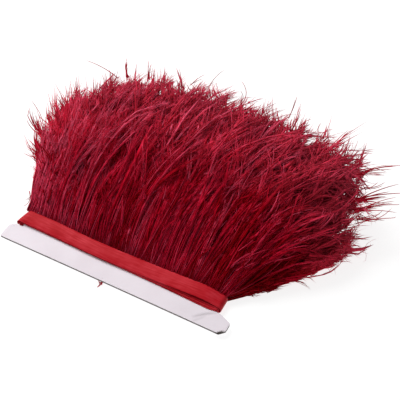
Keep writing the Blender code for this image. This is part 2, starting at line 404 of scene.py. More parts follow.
def crease_share(crease, x, y):
    """1 in the bottom of a soft crease, an arc between two places, and less beside it."""
    start, end = Vector(crease["from"]), Vector(crease["to"])
    along_way = (end - start).normalized()
    offset = Vector((x, y)) - start
    share = offset.dot(along_way) / (end - start).length
    if not 0 < share < 1:
        return 0.0
    aside = offset.x * along_way.y - offset.y * along_way.x
    aside -= crease["bend"] * 4 * share * (1 - share)
    return math.sin(math.pi * share) ** 0.5 * math.exp(-((aside / crease["wide"]) ** 2))


def card_corners():
    """The card's corners as (x, y, radius), against the clock from the front left-hand one."""
    neck_left = BEND_LEFT + LEFT_LOOSE
    neck_right = BEND_RIGHT - SEAT_GAP
    return [
        (CARD_LEFT, FRONT_AT_LEFT, 1.5 * MM),
        (CARD_RIGHT - CORNER_CUT, FRONT_AT_RIGHT, 1.5 * MM),
        (CARD_RIGHT, FRONT_AT_RIGHT + CORNER_CUT, 1.5 * MM),
        (CARD_RIGHT, NECK_FRONT_RIGHT - FLARE_RIGHT, 2.5 * MM),
        (NECK_END_RIGHT, NECK_FRONT_RIGHT, 1.5 * MM),
        (neck_right, NECK_FRONT_RIGHT, 0.8 * MM),
        (neck_right, TAPE_FAR, 0.8 * MM),
        (neck_left, TAPE_FAR, 0.8 * MM),
        (neck_left, NECK_FRONT_LEFT, 0.8 * MM),
        (NECK_END_LEFT, NECK_FRONT_LEFT, 1.5 * MM),
        (CARD_LEFT, NECK_FRONT_LEFT - FLARE_LEFT, 2.5 * MM),
    ]


def mark_wear_shade_and_bend(bm):
    """Marks the painted shade of the cut sides and creases and the worn places, bows and creases the
    card.
    """
    cut_edge = bm.verts.layers.float.new("cut_edge")
    worn_layer = bm.verts.layers.float.new("worn")
    crease_shade_layer = bm.verts.layers.float.new("crease_shade")
    for vert in bm.verts:
        x, y, z = vert.co
        worn_here = 1 - between(0.4 * WORN_REACH, WORN_REACH, math.dist((x, y), WORN_CORNER))
        on_side = CARD_UNDERSIDE + RIM / 2 < z < CARD_TOP - RIM / 2
        from_cut = (CARD_RIGHT - FRONT_AT_RIGHT - CORNER_CUT - (x - y)) / math.sqrt(2)
        # The sides are marked for their painted shade, and a band along the worn corner's cut for wear
        vert[cut_edge] = 1.0 if on_side else worn_here * (from_cut < WORN_WIDE)
        vert[worn_layer] = worn_here
        free = between(NECK_FRONT_LEFT, FRONT_AT_LEFT, y)
        vert.co.z += CARD_BOW * free * math.sin(math.pi * (x - CARD_LEFT) / (CARD_RIGHT - CARD_LEFT))
        # The creases' bottoms are marked for their painted shade
        if z > CARD_TOP - RIM / 2:
            for crease in CREASES:
                here = crease_share(crease, x, y)
                vert.co.z -= crease["deep"] * here
                vert[crease_shade_layer] = max(vert[crease_shade_layer], crease["crease_shade"] * here)


def make_card():
    bm = bmesh.new()
    outline = [bm.verts.new((x, y, CARD_UNDERSIDE)) for x, y in rounded(card_corners())]
    made = bmesh.ops.extrude_face_region(bm, geom=[bm.faces.new(outline)])
    raised = [item for item in made["geom"] if isinstance(item, bmesh.types.BMVert)]
    bmesh.ops.translate(bm, verts=raised, vec=(0, 0, CARD_THICK))
    rims = [edge for edge in bm.edges if edge.verts[0].co.z == edge.verts[1].co.z]
    bmesh.ops.bevel(bm, geom=rims, offset=RIM, segments=3, affect="EDGES", profile=0.5)
    coarse = np.arange(CARD_LEFT + CARD_GRID, FINE_FROM, CARD_GRID)
    fine = np.arange(FINE_FROM, CARD_RIGHT - FINE_GRID, FINE_GRID)
    lengthwise = np.arange(FRONT_AT_RIGHT + FINE_GRID, TAPE_FAR, FINE_GRID)
    cuts = [((x, 0, 0), (1, 0, 0)) for x in (*coarse, *fine)]
    cuts += [((0, y, 0), (0, 1, 0)) for y in lengthwise]
    for spot, way in cuts:
        whole = bm.verts[:] + bm.edges[:] + bm.faces[:]
        bmesh.ops.bisect_plane(bm, geom=whole, plane_co=spot, plane_no=way)
    mark_wear_shade_and_bend(bm)
    bmesh.ops.recalc_face_normals(bm, faces=bm.faces)
    mesh = bpy.data.meshes.new("card_strip")
    bm.to_mesh(mesh)
    bm.free()
    mesh.materials.append(board)
    mesh.shade_smooth()
    mesh.set_sharp_from_angle(angle=math.radians(50))
    return add_object("card_strip", mesh)


card_strip = make_card()
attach(card_strip, "root")
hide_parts("card")
print("card faces:", len(card_strip.data.polygons))


# %% [markdown]
# ## Satin tape
#
# The heading is a folded polyester satin tape. Satin threads float lengthwise over many others,
# so the face is smooth, bright and streaked along its length, and it darkens quickly where it
# turns away. It is one long strip, so it is modelled as one: a flat, round-edged section is swept
# along the real winding, four times round the card, each turn a layer further out. Near the
# right-hand end the lower turns lie close together and the top one stands off, which gives the
# dark line between them. At the left-hand end the top one stands off over a dark hollow.

# %% Red satin
satin = bare_material("polyester_satin_tape")
along_tape, across_tape = (
    add_node(satin, "ShaderNodeAttribute", attribute_name=name).outputs["Fac"]
    for name in ("run", "across"))
# Floating threads: 0.15 mm apart on real satin, drawn at 1 mm so that they show as streaks, and
# about 15 mm long before they dive under. They dent the face, and in the colour they are painted
# sheen, lighter streaks along the tape.
stretch_run = add_node(satin, "ShaderNodeMath", {0: along_tape, 1: 1 / (15 * MM)},
                       operation="MULTIPLY")
stretch_across = add_node(satin, "ShaderNodeMath", {0: across_tape, 1: 1 / (1.0 * MM)},
                          operation="MULTIPLY")
thread_place = add_node(satin, "ShaderNodeCombineXYZ",
                        {"X": stretch_run.outputs[0], "Y": stretch_across.outputs[0]})
threads = add_node(satin, "ShaderNodeTexNoise",
                   {"Vector": thread_place.outputs["Vector"], "Scale": 1.0, "Detail": 3.0})
# Cross ribs of the ground weave, 0.6 mm apart
rib_place = add_node(satin, "ShaderNodeMath", {0: along_tape, 1: 2 * math.pi / (0.6 * MM)},
                     operation="MULTIPLY")
ribs = add_node(satin, "ShaderNodeMath", {0: rib_place.outputs[0]}, operation="SINE")
# Slow changes of tension, about 14 mm long, drawn as painted sheen: brighter, pinker patches
slack_sheen = add_node(satin, "ShaderNodeTexNoise", {
    "Vector": add_node(satin, "ShaderNodeTexCoord").outputs["Object"], "Scale": 1 / (14 * MM)})
thread_sheen = add_node(satin, "ShaderNodeMath",
                      {0: threads.outputs["Fac"], 1: 0.55, 2: 0.17}, operation="MULTIPLY_ADD")
tint = add_node(satin, "ShaderNodeMath",
                {0: slack_sheen.outputs["Fac"], 1: 0.45, 2: thread_sheen.outputs[0]},
                operation="MULTIPLY_ADD")
# Painted sheen: the streaks and patches run from dark red to a brighter, pinker red
satin_colour_and_sheen = add_node(satin, "ShaderNodeValToRGB", {"Fac": tint.outputs[0]})
set_ramp(satin_colour_and_sheen, [(0.3, "#930B16"), (0.6, "#B41723"), (0.9, "#D33D49")])
thread_dents = add_node(satin, "ShaderNodeBump",
                        {"Height": threads.outputs["Fac"], "Strength": 0.3, "Distance": 0.08 * MM})
rib_dents = add_node(satin, "ShaderNodeBump", {
    "Height": ribs.outputs[0], "Strength": 0.06, "Distance": 0.03 * MM,
    "Normal": thread_dents.outputs["Normal"]})
finish_with(satin, add_node(satin, "ShaderNodeBsdfPrincipled", {
    "Base Color": satin_colour_and_sheen.outputs["Color"],
    "Roughness": 0.42,
    "IOR": 1.54,
    "Specular IOR Level": 0.10,
    "Specular Tint": linear("#FF8A8A"),
    "Normal": rib_dents.outputs["Normal"],
}))
print("satin nodes:", len(satin.node_tree.nodes))

# %% Tape winding
TAPE_THICK = 0.5 * MM
# How the wound turns thin out from the far edge to the near one: slowly first, then fast
CROWN_POWER = 2.2
SECTION_STEPS = 8
EDGE_STEPS = 4
TOP_STEPS = 70
UNDER_STEPS = 40
BEND_STEPS = 14
# The tape starts this far along the card's underside and ends this far round its last bend
START_SHARE = 0.08
LAST_BEND = 0.7
# No turn lies quite on the one below it: its edge strays by this much, over these two distances
EDGE_WANDER = 0.14 * MM
WANDER_PACES = (17.0 * MM, 41.0 * MM)

# How high each turn lies, from 0 for the first one to 1 for the top one
EVEN_LAYERS = (0.0, 0.33, 0.67, 1.0)
LEFT_LAYERS = (0.0, 0.14, 0.28, 1.0)
RIGHT_LAYERS = (0.0, 0.19, 0.38, 1.0)
LEFT_PART = (-99.0 * MM, -93.0 * MM)
RIGHT_PART = (40.0 * MM, 75.0 * MM)
# The turns under the top one lie further back at the left-hand end
HOLLOW_DEEP = 2.9 * MM
# The top turn's near edge stands off there too
HOLLOW_SHARE = 0.60


def by_way_of(first, middle, last, share):
    """From first to last by way of middle, with a soft change at each."""
    return mix(mix(first, middle, between(0, 0.5, share)), last, between(0.5, 1, share))


def bend_station(centre, angle, *rest):
    """A station on the bend round an end of the card, at an angle from straight to the right."""
    way_x, way_z = math.cos(angle), math.sin(angle)
    return (centre + BEND_RADIUS * way_x, BEND_HEIGHT + BEND_RADIUS * way_z, way_x, way_z, *rest)


def tape_stations():
    """Stations of the winding in order: x, z, the way outward, room for all turns along the far
    edge, spread, near edge's share of the room, layer."""
    stations = []
    low, high = BEND_HEIGHT - BEND_RADIUS, BEND_HEIGHT + BEND_RADIUS
    for turn in range(TURNS):
        first = START_SHARE if turn == 0 else 0.0
        for step in range(UNDER_STEPS):
            x = mix(mix(BEND_LEFT, BEND_RIGHT, first), BEND_RIGHT, step / UNDER_STEPS)
            spread = UNDER_SPREAD / END_SPREAD * spread_at(x)
            stations.append((x, low, 0.0, -1.0, UNDER_THICK, spread, 1.0, turn))
        for step in range(BEND_STEPS):
            share = step / BEND_STEPS
            angle = math.pi * (share - 0.5)
            room = by_way_of(UNDER_THICK, END_THICK, top_thickness(BEND_RIGHT), share)
            spread = mix(UNDER_SPREAD, END_SPREAD, between(0, 1, share)) * FRONT_SPREAD
            near_share = mix(1.0, NEAR_SHARE_RIGHT, between(0.5, 1, share))
            stations.append(bend_station(BEND_RIGHT, angle, room, spread, near_share, turn))
        for step in range(TOP_STEPS):
            x = mix(BEND_RIGHT, BEND_LEFT, step / TOP_STEPS)
            near_share = mix(HOLLOW_SHARE, near_share_at(x), between(*LEFT_PART, x))
            stations.append((x, high, 0.0, 1.0, top_thickness(x), spread_at(x), near_share, turn))
        last = LAST_BEND if turn == TURNS - 1 else 1.0
        for step in range(BEND_STEPS):
            share = last * step / BEND_STEPS
            angle = math.pi * (share + 0.5)
            room = by_way_of(top_thickness(BEND_LEFT), END_THICK, UNDER_THICK, share)
            near_share = mix(HOLLOW_SHARE, 1.0, between(0, 0.5, share))
            layer = turn + between(0, 1, share)
            stations.append(bend_station(BEND_LEFT, angle, room, 0.0, near_share, layer))
    return stations


def tape_section():
    """Points (across, out) round the folded tape: its outer face, far edge, inner face, near edge."""
    radius = TAPE_THICK / 2
    points = []
    for side in (1, -1):
        edge = side * (TAPE_WIDTH / 2 - radius)
        points += [(mix(-edge, edge, step / SECTION_STEPS), radius + side * radius)
                   for step in range(SECTION_STEPS + 1)]
        for step in range(1, EDGE_STEPS):
            angle = math.pi / 2 * side - math.pi * step / EDGE_STEPS
            points.append((edge + radius * math.cos(angle), radius + radius * math.sin(angle)))
    return points


def layer_out(x, layer):
    """Share of the room that lies under a layer."""
    left = 1 - between(*LEFT_PART, x)
    right_part = between(*RIGHT_PART, x)
    shares = [mix(mix(even, near_left, left), near_right, right_part)
              for even, near_left, near_right in zip(EVEN_LAYERS, LEFT_LAYERS, RIGHT_LAYERS)]
    return float(np.interp(layer, range(TURNS), shares))


def swept_faces(rings, size):
    """Faces of a strip swept through so many rings of so many points, with both ends closed."""
    faces = []
    for i in range(rings - 1):
        for j in range(size):
            k = (j + 1) % size
            faces.append((i * size + j, i * size + k, (i + 1) * size + k, (i + 1) * size + j))
    faces.append(tuple(range(size - 1, -1, -1)))
    faces.append(tuple((rings - 1) * size + j for j in range(size)))
    return faces


def make_tape():
    """Sweeps the section along the winding, and measures the tape's length on the way."""
    section = tape_section()
    points, run, across = [], [], []
    travelled, before = 0.0, None
    for x, z, way_x, way_z, room, spread, near_share, layer in tape_stations():
        if before is not None:
            travelled += math.dist(before, (x, z))
        before = (x, z)
        out = (room - TAPE_THICK) * layer_out(x, layer)
        wander = EDGE_WANDER * math.prod(math.sin(travelled / pace) for pace in WANDER_PACES)
        zigzag = 1 - abs(layer % 2 - 1)
        forward = spread * max(0.0, 1 - layer / (TURNS - 1)) + TURN_STEP * zigzag + wander
        tucked = HOLLOW_DEEP * (1 - between(*LEFT_PART, x)) * np.clip(TURNS - 1 - layer, 0, 1)
        middle = (TAPE_FAR + TAPE_NEAR) / 2 + setback_at(x)
        for place_across, height in section:
            nearness = 0.5 - place_across / TAPE_WIDTH
            y = middle + place_across - forward + tucked
            reach = out * mix(1.0, near_share, nearness ** CROWN_POWER) + height
            points.append((x + way_x * reach + slant_at(x, y), y, z + way_z * reach))
            run.append(travelled)
            across.append(place_across)
    mesh = bpy.data.meshes.new("tape_turns")
    mesh.from_pydata(points, [], swept_faces(len(points) // len(section), len(section)))
    for name, values in (("run", run), ("across", across)):
        mesh.attributes.new(name, "FLOAT", "POINT").data.foreach_set("value", values)
    mesh.materials.append(satin)
    mesh.shade_smooth()
    return add_object("tape_turns", mesh), travelled


tape_turns, tape_length = make_tape()
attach(tape_turns, "root")
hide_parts("tape_roll")
print("tape length in metres:", round(tape_length, 3))


# %% [markdown]
# ## How the fringe fans out
#
# Every feather starts at the tape and ends somewhere on a fan. A place in the fringe is given by
# three shares: how far along the roll it is, how high up in the pile, and how far from root to
# tip. One function turns the three into a point, with the same table as the frame's fringe, so
# that the fine feathers fill the same form.

# %% Fan
ROOT_LEFT = -97.5 * MM
ROOT_RIGHT = 95.5 * MM
ROOT_FACE = TAPE_FAR + 2.9 * MM
ROOT_START = TAPE_FAR - 0.7 * MM
# The lowest share of the pile comes from the turns under the card
UNDER_SHARE = 0.28
ROOT_INSET = 0.4 * MM
ROOT_BELOW_TOP = 0.45 * MM
# The lowest feathers reach a little further. The pile is highest near the tips, which droop.
FLOOR_REACH = 1.02
PEAK_ALONG = 0.92
TIP_DROOP = 0.10
DROOP_FROM = 0.7
# At the left-hand end the feathers' feet stand out sideways, but only close to the tape
FOOT_FLARE = 4.0 * MM
FOOT_END = 0.08
FOOT_POWER = 25

# By share along the roll. reach: how far forward the tips lie. lean: how far sideways. bow: sideways
# swing half way. crest: height of the top of the pile. All four in mm.
FAN = {
    "share": (0.00, 0.08, 0.20, 0.35, 0.50, 0.65, 0.80, 0.92, 1.00),
    "reach": (104, 132, 150, 162, 167, 169, 165, 150, 100),
    "lean": (-27, -39, -36, -26, -7, 18, 44, 72, 80),
    "bow": (-9, -7, -10, -9, -6, -3, 1, 5, 9),
    "crest": (30, 50, 64, 72, 73, 72, 68, 61, 28),
}
# How much of the fan's reach the feathers fill
LENGTHS = {
    "share": (0.00, 0.05, 0.12, 0.22, 0.40, 0.50, 0.62, 0.72, 0.82, 0.90, 1.00),
    "length": (0.95, 0.84, 0.81, 0.88, 0.98, 0.98, 0.95, 0.95, 1.00, 1.05, 0.85),
}


def by_share(table, key, share):
    """A table's value at a share along the roll, read between its columns."""
    return np.interp(share, table["share"], table[key])


def fan_value(key, share):
    return MM * by_share(FAN, key, share)


def root_height(share, level):
    """Height at which a feather leaves the tape: from the turns under the card or those above it."""
    top = CARD_TOP + SEAT_GAP + top_thickness(mix(ROOT_LEFT, ROOT_RIGHT, share)) - ROOT_BELOW_TOP
    under = mix(ROOT_INSET, UNDER_THICK - ROOT_INSET, level / UNDER_SHARE)
    over = mix(CARD_TOP + SEAT_GAP + ROOT_INSET, top, (level - UNDER_SHARE) / (1 - UNDER_SHARE))
    return np.where(level < UNDER_SHARE, under, over)


def fringe_point(share, level, along):
    """Points of the fringe, from arrays of the three shares."""
    bow = 4 * fan_value("bow", share) * along * (1 - along)
    foot = FOOT_FLARE * np.clip(1 - share / FOOT_END, 0, 1) * (1 - along) ** FOOT_POWER
    x = mix(ROOT_LEFT, ROOT_RIGHT, share) + fan_value("lean", share) * along + bow - foot
    far = ROOT_FACE + fan_value("reach", share) * mix(FLOOR_REACH, 1.0, level)
    near = ROOT_START + setback_at(mix(ROOT_LEFT, ROOT_RIGHT, share))
    y = mix(near, far, along)
    rise = 1 - (1 - along / PEAK_ALONG) ** 2
    crest = level * fan_value("crest", share)
    z = mix(root_height(share, level[..., :1]), crest, rise)
    z = z - TIP_DROOP * between(DROOP_FROM, 1.0, along) * crest
    return np.stack([x, y, z], axis=-1)


print("middle of the fan in mm:", fringe_point(
    np.array([[0.5]]), np.array([[1.0]]), np.array([[1.0]]))[0, 0] / MM)


# %% [markdown]
# ## Strands
#
# A feather is thousands of fine hairs. Each is a closed, three-sided tube that tapers to a point,
# and all the hairs of a bundle share one mesh, which is written from arrays in one go: a million
# triangles take seconds that way, where a million objects would take hours. A hair keeps a random
# tone and its place from root to tip, for the dye, the painted shade at its roots and the painted
# highlight at its tips to vary by.

# %% Strand meshes
SIDES = 3
# How far apart the streaks of two strands lie in the dye's pattern
LANE_STEP = 7.3
# Empty rim of a strand's own place on the map, by share of it
MAP_RIM = 0.06


def strand_faces(points):
    """Triangles of one strand of this many points, as (ring, side) corners, tip and root closed."""
    triangles = []
    for i in range(points - 2):
        for j in range(SIDES):
            triangles.append([(i, j), (i, j + 1), (i + 1, j + 1)])
            triangles.append([(i, j), (i + 1, j + 1), (i + 1, j)])
    last = points - 2
    triangles += [[(last, j), (last, j + 1), (last + 1, 0)] for j in range(SIDES)]
    triangles.append([(0, 0), (0, 2), (0, 1)])
    return np.array(triangles)


def frames_along(paths, facing):
    """Ways along the paths, and two ways across them: square to facing, and nearly facing's own."""
    ways = np.gradient(paths, axis=1)
    ways /= np.linalg.norm(ways, axis=2, keepdims=True)
    side = np.cross(ways, facing)
    side /= np.linalg.norm(side, axis=2, keepdims=True)
    return ways, side, np.cross(side, ways)


def strand_set(paths, radii, tone, along, quill, flat, facing):
    """Arrays of closed strands round paths (strand, point, xyz). The last point is the tip.

    flat is a strand's thickness as a share of its width. facing is the way that its width faces."""
    count, points, _ = paths.shape
    ways, side, over = frames_along(paths, facing)
    turn = 2 * np.pi * np.arange(SIDES) / SIDES
    ring = (np.cos(turn)[:, None] * side[:, :-1, None, :]
            + flat * np.sin(turn)[:, None] * over[:, :-1, None, :])
    corners = paths[:, :-1, None, :] + radii[:, :-1, None, None] * ring
    per_strand = SIDES * (points - 1) + 1
    verts = np.concatenate([corners.reshape(count, -1, 3), paths[:, -1:, :]], axis=1)
    spread = np.repeat(np.arange(points), [SIDES] * (points - 1) + [1])
    faces = strand_faces(points)
    index = np.minimum(faces[..., 0] * SIDES + faces[..., 1] % SIDES, per_strand - 1)
    first = np.arange(count)[:, None, None] * per_strand
    local = np.stack([faces[..., 0] / (points - 1), faces[..., 1] / SIDES], axis=-1)
    # The root's end, which would be a line on the map, gets a narrow triangle of it
    local[-1] = [[0.0, 0.0], [0.0, 0.9], [0.02, 0.45]]
    return {
        "verts": verts.reshape(-1, 3),
        "faces": (first + index).reshape(-1, 3),
        "local": np.broadcast_to(local, (count, *local.shape)).reshape(-1, 2),
        "strand": np.repeat(np.arange(count), len(faces) * 3),
        "count": count,
        "tone": np.repeat(tone, per_strand),
        "along": along[:, spread].reshape(-1),
        "quill": np.repeat(quill, per_strand),
        "lane": (LANE_STEP * np.arange(count)[:, None] + np.append(np.tile(
            np.arange(SIDES) / SIDES, points - 1), 0.5)).ravel(),
    }


def strand_object(name, sets, material):
    """One object from several sets of strands, with a small place of its own on the map for each."""
    shift_verts = np.cumsum([0] + [len(part["verts"]) for part in sets[:-1]])
    shift_strands = np.cumsum([0] + [part["count"] for part in sets[:-1]])
    verts = np.concatenate([part["verts"] for part in sets])
    faces = np.concatenate([part["faces"] + shift for part, shift in zip(sets, shift_verts)])
    strand = np.concatenate([part["strand"] + shift for part, shift in zip(sets, shift_strands)])
    mesh = bpy.data.meshes.new(name)
    mesh.from_pydata(verts.tolist(), [], faces.tolist())
    for key in ("tone", "along", "quill", "lane"):
        values = np.concatenate([part[key] for part in sets]).astype(np.float32)
        mesh.attributes.new(key, "FLOAT", "POINT").data.foreach_set("value", values)
    columns = math.ceil(math.sqrt(sum(part["count"] for part in sets)))
    cell = np.stack([strand % columns, strand // columns], axis=-1)
    local = np.concatenate([part["local"] for part in sets])
    places = (cell + MAP_RIM + (1 - 2 * MAP_RIM) * local) / columns
    mesh.uv_layers.new(name="OFBake").uv.foreach_set("vector", places.astype(np.float32).ravel())
    mesh.materials.append(material)
    mesh.shade_smooth()
    return add_object(name, mesh)


def unit_vectors(chance, count):
    """Random ways, one for each strand, all along it."""
    raw = chance.normal(size=(count, 1, 3))
    return raw / np.linalg.norm(raw, axis=2, keepdims=True)


print("triangles in a barb of 4 points:", len(strand_faces(4)))


# %% [markdown]
# ## Dyed down
#
# Ostrich flues are keratin, dyed with acid dye in a bath. The dye takes a little unevenly, so no
# two flues have quite the same crimson, and a bare quill is pinker than the soft barbs. Down is
# matt, and its fuzz scatters light at its edges, which a little sheen stands for.

# %% Dyed ostrich down
down = bare_material("dyed_ostrich_down")
tone_value, along_value, quill_value, lane_value = (
    add_node(down, "ShaderNodeAttribute", attribute_name=name).outputs["Fac"]
    for name in ("tone", "along", "quill", "lane"))
# Barbs grow 0.3 mm apart and lean towards the tip. Drawn much coarser, as slanted streaks about
# 9 mm long that show from a step away: lane goes round a strand, and along runs over 150 mm.
slant = add_node(down, "ShaderNodeMath", {0: along_value, 1: 9.0, 2: lane_value},
                 operation="MULTIPLY_ADD")
streak_across = add_node(down, "ShaderNodeMath", {0: slant.outputs[0], 1: 7.0},
                         operation="MULTIPLY")
streak_along = add_node(down, "ShaderNodeMath", {0: along_value, 1: 150 / 9.0},
                        operation="MULTIPLY")
streak_place = add_node(down, "ShaderNodeCombineXYZ",
                        {"X": streak_across.outputs[0], "Y": streak_along.outputs[0]})
streaks = add_node(down, "ShaderNodeTexNoise",
                   {"Vector": streak_place.outputs["Vector"], "Scale": 1.0, "Detail": 2.0})
streaked_tone = add_node(down, "ShaderNodeMath", {0: streaks.outputs["Fac"], 1: 1.4, 2: -0.70},
                         operation="MULTIPLY_ADD")
whole_tone = add_node(down, "ShaderNodeMath", {0: tone_value, 1: streaked_tone.outputs[0]},
                      operation="ADD")
# Painted shade: the colour is darkest near the roots, deep in the pile
root_shade_tone = add_node(down, "ShaderNodeMapRange",
                     {"Value": along_value, "From Min": 0.05, "From Max": 0.5,
                      "To Min": -0.25, "To Max": 0.0})
root_shaded_tone = add_node(down, "ShaderNodeMath",
                     {0: whole_tone.outputs[0], 1: root_shade_tone.outputs["Result"]}, operation="ADD")
dye = add_node(down, "ShaderNodeValToRGB", {"Fac": root_shaded_tone.outputs[0]})
set_ramp(dye, [(0.0, "#8B020D"), (0.35, "#B80D27"), (0.7, "#CA2241"), (1.0, "#E05A78")])
quill_dye = add_node(down, "ShaderNodeMix", {
    "Factor": quill_value, 6: dye.outputs["Color"], 7: linear("#E24A68"),
}, data_type="RGBA")
# Painted highlight: the soft ends are paler and pinker
tip_highlight = add_node(down, "ShaderNodeMapRange",
                  {"Value": along_value, "From Min": 0.4, "From Max": 1.0,
                   "To Min": 0.0, "To Max": 0.34})
highlighted_dye = add_node(down, "ShaderNodeMix", {
    "Factor": tip_highlight.outputs["Result"], 6: quill_dye.outputs[2], 7: linear("#E66884"),
}, data_type="RGBA")
# Dye that pooled in clumps about 25 mm across
pool = add_node(down, "ShaderNodeTexNoise", {
    "Vector": add_node(down, "ShaderNodeTexCoord").outputs["Object"],
    "Scale": 1 / (25 * MM), "Detail": 2.0})
pool_range = add_node(down, "ShaderNodeMapRange",
                      {"Value": pool.outputs["Fac"], "From Min": 0.3, "From Max": 0.7,
                       "To Min": 0.8, "To Max": 1.12})
# Painted shade as well: the colour is scaled darker near the roots and lighter further out
root_shade_range = add_node(down, "ShaderNodeMapRange",
                      {"Value": along_value, "From Min": 0.05, "From Max": 0.45,
                       "To Min": 0.88, "To Max": 1.24})
shade = add_node(down, "ShaderNodeMath",
                 {0: pool_range.outputs["Result"], 1: root_shade_range.outputs["Result"]},
                 operation="MULTIPLY")
shaded = add_node(down, "ShaderNodeVectorMath",
                  {0: highlighted_dye.outputs[2], "Scale": shade.outputs[0]}, operation="SCALE")
finish_with(down, add_node(down, "ShaderNodeBsdfPrincipled", {
    "Base Color": shaded.outputs["Vector"],
    "Roughness": 0.5,
    "IOR": 1.55,
    "Specular IOR Level": 0.02,
    "Specular Tint": linear("#FF6A85"),
    "Sheen Weight": 0.01,
    "Sheen Roughness": 0.4,
    "Sheen Tint": linear("#F05A78"),
}))
print("down nodes:", len(down.node_tree.nodes))


# %% [markdown]
# ## Flues
#
# A flue is one soft branch of an ostrich plume: a thin quill with fine barbs down both sides. In
# the roll the barbs are pressed together, so a flue reads as a soft blade that ends in a point,
# and only some barbs stand off and fuzz. Flues also cling in tufts, which leaves dark gaps between
# them. So each flue is a curve through the fan that is drawn towards its tuft's tip and curls
# there, and three kinds of flue end at different places, which gives the pile its layers.

# %% Flue curves
FLUES = 1000
STEM_POINTS = 12
TUFTS = 110
TUFT_SEED = 11
# How strongly a flue is drawn to its tuft, along the roll and much less in height, and how far
# the tufts heave up and down
TUFT_PULL = 0.75
LEVEL_PULL = 0.3
TUFT_HEAVE = 3.0 * MM
# How far single flues stray, by share along the roll and by level
STRAY_SHARE = 0.045
STRAY_LEVEL = 0.05
EDGE_ROOM = 0.01
TOP_ROOM = 1.06
# Below 1, more flues lie high in the pile. Above 1, more of them grow to the right.
TOP_HEAVY = 0.55
CROWD_RIGHT = 1.2
# How far the flues swing aside close to the tape
ROOT_SWING = 6.0 * MM

# Waves that grow from root to tip. swings: least and most, in mm. paces: least and most, in radians.
FLUE_WAVE = {"swings": (1.0, 5.0), "paces": (3.5, 11.0)}
TUFT_WAVE = {"swings": (4.0, 11.0), "paces": (3.0, 7.0)}
MAT_WAVE = {"swings": (0.5, 3.0), "paces": (3.5, 11.0)}

# How far each kind reaches, by share of the fan, and how high in the pile it lies. Short flues
# stand up out of the pile, full ones make the rim, and a few long ones stick out of it.
KINDS = [
    {"kind": "short", "share": 0.52, "least": 0.42, "most": 0.90, "low": 0.7, "high": 1.05},
    {"kind": "full", "share": 0.43, "least": 0.86, "most": 0.99, "low": 0.0, "high": 1.0},
    {"kind": "long", "share": 0.05, "least": 0.98, "most": 1.04, "low": 0.3, "high": 1.0},
]
# How far the whole pile swings left and back again, in mm
SWEEP = 6.0
# Left of this part of the roll the flues hardly swing or curl sideways, and right of it they do
FREE_PART = (-0.05, 0.3)
# Each tuft's end curls sideways and up or down, and each flue adds a curl of its own, all in mm.
# from: where the curl starts, by share of the flue. calm: how much less of it to the side at the
# right-hand end, which comes on through calm_part, by share along the roll.
CURL = {"from": 0.35, "side": 12.0, "lift": 7.0, "own_side": 10.0, "own_lift": 5.0,
        "calm": 0.85, "calm_part": (0.6, 0.92)}
# The top of the pile lies straighter than the fan below it. How far it is shifted along the roll,
# at its tips and half way to them, by share along the roll.
TOP_RUN = {
    "share": (0.00, 0.06, 0.20, 0.35, 0.50, 0.65, 0.80, 0.92, 1.00),
    "tip": (0.00, 0.20, 0.24, 0.20, 0.12, 0.08, 0.08, 0.06, 0.00),
    "middle": (0.00, 0.03, 0.045, 0.035, 0.00, -0.02, -0.05, -0.08, -0.06),
}


def nearest_tuft(tufts, share, level):
    """For each flue, the number of the tuft that it clings to."""
    aside = (tufts[None, :, 0] - share[:, None]) ** 2
    above = (0.25 * (tufts[None, :, 1] - level[:, None])) ** 2
    return np.argmin(aside + above, axis=1)


def spread_roots(chance, count):
    """Places along the roll, in order. The fan opens more to the right, so more grow there."""
    return 1 - (1 - (np.arange(count) + chance.random(count)) / count) ** CROWD_RIGHT


def sweep_right(points, share, along):
    """Swings the strands left and back again, all but those at the left-hand end."""
    free = between(*FREE_PART, share)[:, None]
    points[..., 0] += MM * SWEEP * free * (along ** 3 - along)


def top_run(share, level, along):
    """How far strands are shifted along the roll, by share of it. The top ones shift the most."""
    tip, middle = (by_share(TOP_RUN, key, share)[:, None] for key in ("tip", "middle"))
    return (level ** 2)[:, None] * (tip * along ** 1.4 + 4 * middle * along * (1 - along))


def add_wave(points, chance, along, swings, paces, groups=None):
    """Waves the strands of one group, such as a tuft, together. Without groups, each waves alone."""
    groups = np.arange(len(points)) if groups is None else groups
    count = groups.max() + 1
    swing = chance.uniform(*swings, count)[groups, None] * MM * along ** 1.2
    phase = chance.uniform(0, 2 * np.pi, (2, count))[:, groups, None]
    pace = chance.uniform(*paces, count)[groups, None]
    points[..., 0] += swing * np.sin(pace * along + phase[0])
    points[..., 2] += 0.8 * swing * np.sin(pace * along + phase[1])


def size_flues(chance, share):
    """Each flue's length, by share of the fan, and its level in the pile, after its kind."""
    kind = chance.choice(len(KINDS), FLUES, p=[row["share"] for row in KINDS])
    least, most, low, high = (np.array([row[key] for row in KINDS])[kind]
                              for key in ("least", "most", "low", "high"))
    length = chance.uniform(least, most) * by_share(LENGTHS, "length", share)
    return length, mix(low, high, chance.random(FLUES) ** TOP_HEAVY)


def curl_ends(points, chance, share, own, number):
    """Curls the flues' ends, each tuft's as one and each flue's a little by itself."""
    curled = np.clip((own - CURL["from"]) / (1 - CURL["from"]), 0, 1) ** 2 * MM
    side = chance.normal(0, CURL["side"], TUFTS)[number] + chance.normal(0, CURL["own_side"], FLUES)
    side *= between(*FREE_PART, share) * (1 - CURL["calm"] * between(*CURL["calm_part"], share))
    lift = chance.normal(0, CURL["lift"], TUFTS)[number] + chance.normal(0, CURL["own_lift"], FLUES)
    points[..., 0] += side[:, None] * curled
    points[..., 2] += lift[:, None] * curled


